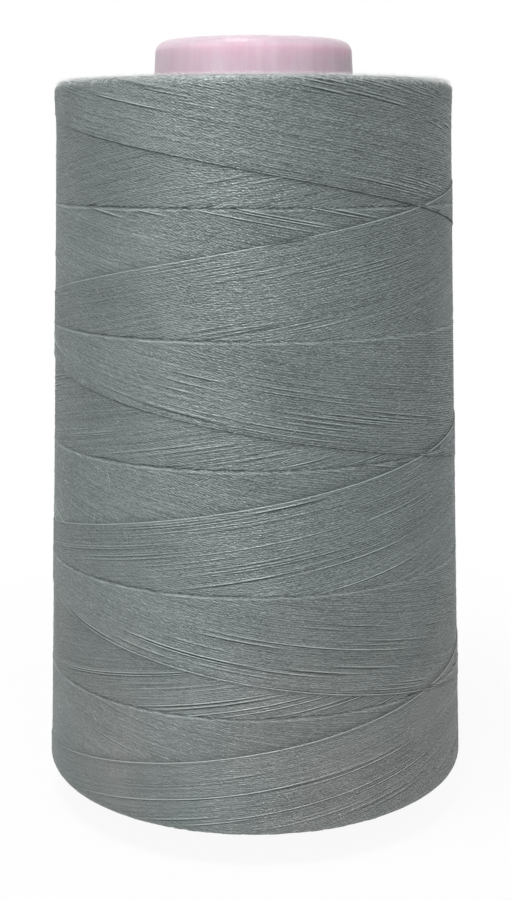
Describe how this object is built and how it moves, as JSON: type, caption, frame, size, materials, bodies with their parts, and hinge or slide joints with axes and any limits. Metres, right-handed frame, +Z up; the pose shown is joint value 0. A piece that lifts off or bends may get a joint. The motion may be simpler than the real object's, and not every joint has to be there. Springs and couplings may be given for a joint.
{
  "type": "spool of thread",
  "caption": "Cone of sewing thread, cross-wound on a tapered plastic core that is open from end to end. It stands on the core's foot and the thread draws off over the nose.",
  "frame": {"origin": "on the axis, in the plane of the foot's rim, on which the cone stands", "axes": "+Z up the axis from the foot to the nose; the part is round about Z"},
  "size_m": [0.0962, 0.0962, 0.17],
  "materials": {
    "core_plastic": "pale pink moulded polypropylene, satin, slightly translucent",
    "thread": "grey spun sewing thread with a soft sheen across the turns"
  },
  "bodies": {
    "root": {"core": "core_plastic", "thread_winding": "thread", "start_bunch": "thread"}
  },
  "joints": []
}
